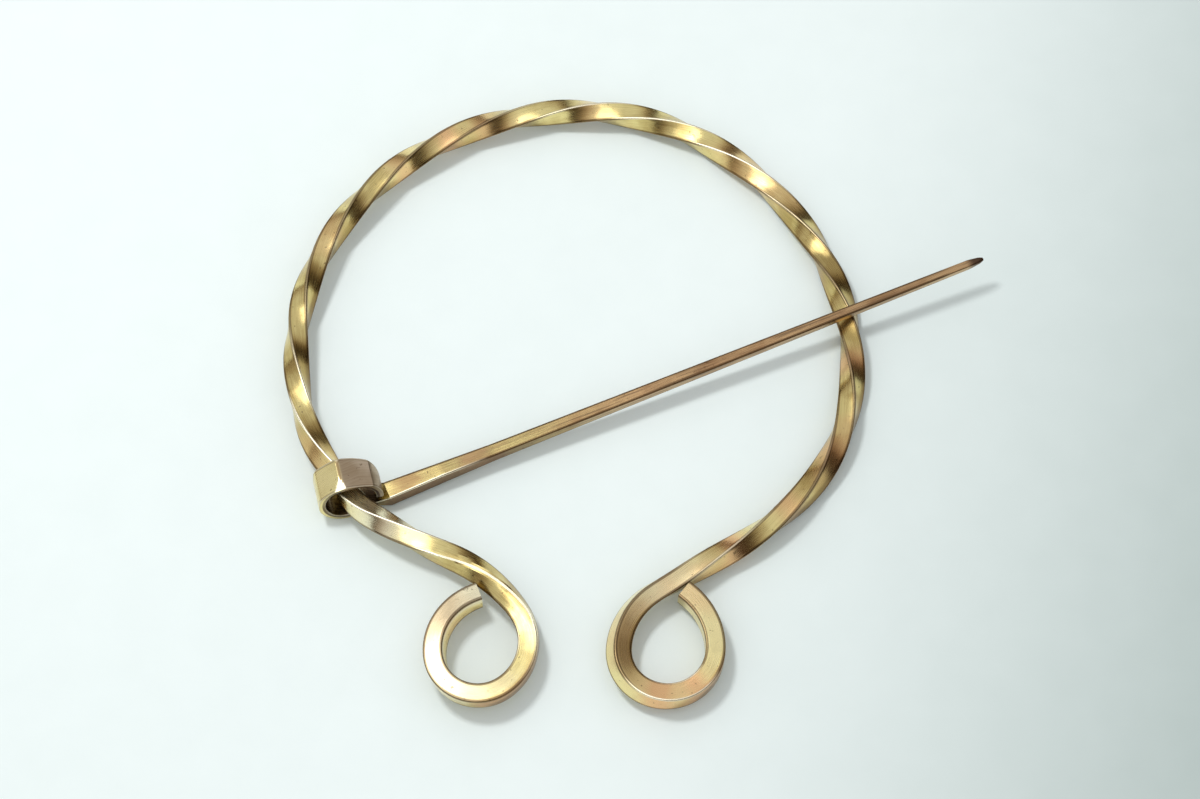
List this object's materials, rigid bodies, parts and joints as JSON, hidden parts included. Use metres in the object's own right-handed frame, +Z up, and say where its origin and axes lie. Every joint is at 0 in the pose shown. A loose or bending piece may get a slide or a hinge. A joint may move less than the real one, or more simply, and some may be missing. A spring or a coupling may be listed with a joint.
{
  "type": "penannular brooch",
  "caption": "Open ring of twisted square wire with curled eyes at its ends, and a loose pin that swings on the ring and lies across it.",
  "frame": {"origin": "middle of the brooch's bounding box in plan, on the surface that it lies on", "axes": "+Z up from that surface, out of the brooch's face; +Y from the gap between the ends to the ring's far side; +X to the right of that, towards the pin's point"},
  "size_m": [0.0584, 0.0558, 0.0044],
  "materials": {
    "hoop_brass": "bright twisted brass with fine file and draw marks",
    "pin_brass": "forged brass with a copper-brown heat tone"
  },
  "bodies": {
    "hoop": {"hoop": "hoop_brass"},
    "pin": {"pin": "pin_brass"}
  },
  "joints": [
    {"name": "pin_swing", "type": "hinge", "parent": "hoop", "child": "pin", "pos_m": [-0.02375, -0.00926, 0.00217], "axis": [0.5835, -0.812, -0.0106], "range_deg": [0, 178]}
  ]
}
